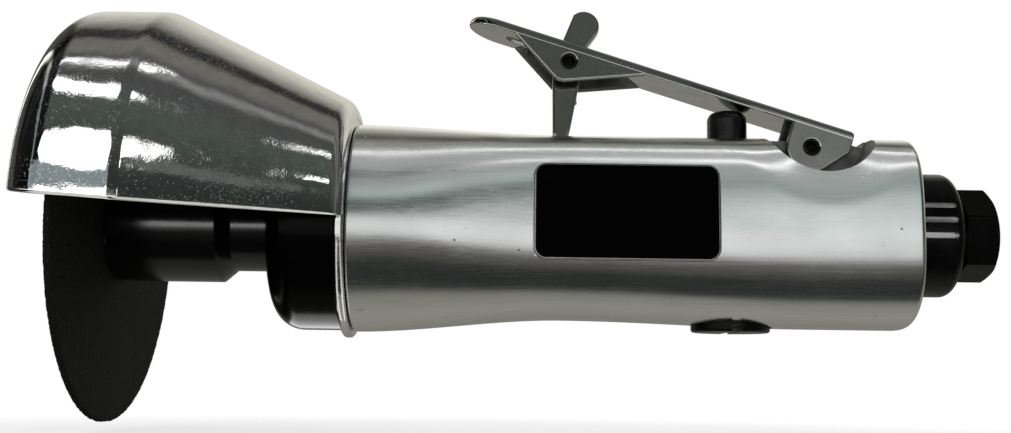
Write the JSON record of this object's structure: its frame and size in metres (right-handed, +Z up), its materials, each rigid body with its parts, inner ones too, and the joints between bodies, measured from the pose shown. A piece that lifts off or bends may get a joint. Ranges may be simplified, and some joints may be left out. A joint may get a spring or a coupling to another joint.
{
  "type": "pneumatic cut off tool",
  "caption": "Straight air cut-off tool: a vane motor in a cast grip spins a thin abrasive wheel inside a half guard, with a throttle lever and lock-off on top.",
  "frame": {"origin": "on the spindle axis, at the mouth of the air inlet", "axes": "+X along the spindle axis from the wheel to the air inlet, +Z up through the throttle lever, -Y towards the name plate"},
  "size_m": [0.1784, 0.0815, 0.0821],
  "materials": {
    "polished_aluminium": "polished with lengthwise marks",
    "black_plate": "satin black",
    "gloss_black_steel": "gloss black",
    "satin_black_steel": "satin black oxide",
    "chromed_sheet": "mirror chrome",
    "abrasive": "gritty bonded abrasive",
    "machined_steel": "ground",
    "bearing_steel": "polished",
    "pin_steel": "rolled",
    "spring_steel": "drawn wire",
    "brass": "turned",
    "fibre": "pressed fibre",
    "black_plastic": "satin moulded",
    "seal_rubber": "matte"
  },
  "bodies": {
    "body": {"housing": "polished_aluminium", "name_plate": "black_plate", "clamp_nut": "gloss_black_steel", "front_end_plate": "machined_steel", "rear_end_plate": "machined_steel", "motor_cylinder": "machined_steel", "cylinder_dowel": "machined_steel", "motor_gasket": "fibre", "front_bearing_outer_ring": "bearing_steel", "rear_bearing_outer_ring": "bearing_steel", "lever_pin": "pin_steel", "valve_bush": "brass", "valve_spring": "spring_steel", "inlet_bushing": "satin_black_steel", "inlet_o_ring": "seal_rubber", "inlet_screen": "machined_steel"},
    "spindle": {"rotor": "machined_steel", "rotor_blades": "fibre", "front_bearing_inner_ring": "bearing_steel", "rear_bearing_inner_ring": "bearing_steel", "wheel_spindle": "satin_black_steel", "cutting_wheel": "abrasive", "outer_flange": "satin_black_steel", "wheel_screw": "satin_black_steel"},
    "front_ball_set": {"front_bearing_balls": "bearing_steel", "front_bearing_cage": "brass"},
    "rear_ball_set": {"rear_bearing_balls": "bearing_steel", "rear_bearing_cage": "brass"},
    "guard": {"guard": "chromed_sheet"},
    "lever": {"throttle_lever": "chromed_sheet", "lock_off_pin": "pin_steel", "lock_off_spring": "spring_steel"},
    "lock_off": {"lock_off_lever": "chromed_sheet"},
    "plunger": {"valve_plunger": "black_plastic", "plunger_o_ring": "seal_rubber", "valve_poppet": "brass"},
    "regulator": {"regulator": "black_plastic", "regulator_o_ring": "seal_rubber"},
    "deflector": {"exhaust_deflector": "black_plastic"}
  },
  "joints": [
    {"name": "spindle_spin", "type": "hinge", "parent": "body", "child": "spindle", "pos_m": [-0.1, 0, 0], "axis": [1, 0, 0], "continuous": true},
    {"name": "front_balls_roll", "type": "hinge", "parent": "body", "child": "front_ball_set", "pos_m": [-0.1078, 0, 0], "axis": [1, 0, 0], "continuous": true},
    {"name": "rear_balls_roll", "type": "hinge", "parent": "body", "child": "rear_ball_set", "pos_m": [-0.0643, 0, 0], "axis": [1, 0, 0], "continuous": true},
    {"name": "guard_turn", "type": "hinge", "parent": "body", "child": "guard", "pos_m": [-0.1245, 0, 0], "axis": [1, 0, 0], "range_deg": [-90, 90]},
    {"name": "throttle_press", "type": "hinge", "parent": "body", "child": "lever", "pos_m": [-0.035, 0, 0.0163], "axis": [0, -1, 0], "range_deg": [0, 8], "stiffness_Nm_per_rad": 2, "springref_deg": -17.19},
    {"name": "lock_off_tilt", "type": "hinge", "parent": "lever", "child": "lock_off", "pos_m": [-0.08219, 0, 0.03276], "axis": [0, -1, 0], "range_deg": [0, 76], "stiffness_Nm_per_rad": 0.01, "springref_deg": -28.65, "deforming": ["lock_off_spring"]},
    {"name": "plunger_press", "type": "slide", "parent": "body", "child": "plunger", "axis": [0, 0, -1], "range_m": [0, 0.00225], "deforming": ["valve_spring"]},
    {"name": "regulator_turn", "type": "hinge", "parent": "body", "child": "regulator", "pos_m": [-0.0504, 0, -0.012], "axis": [0, 0, 1], "range_deg": [0, 90]},
    {"name": "deflector_turn", "type": "hinge", "parent": "body", "child": "deflector", "pos_m": [-0.012, 0, 0], "axis": [1, 0, 0], "continuous": true}
  ],
  "couplings": [
    {"joint": "front_balls_roll", "follows": "spindle_spin", "ratio": 0.368},
    {"joint": "rear_balls_roll", "follows": "spindle_spin", "ratio": 0.353},
    {"joint": "lock_off_tilt", "follows": "throttle_press", "ratio": 9.4},
    {"joint": "plunger_press", "follows": "throttle_press", "m_per_rad": 0.0153}
  ]
}
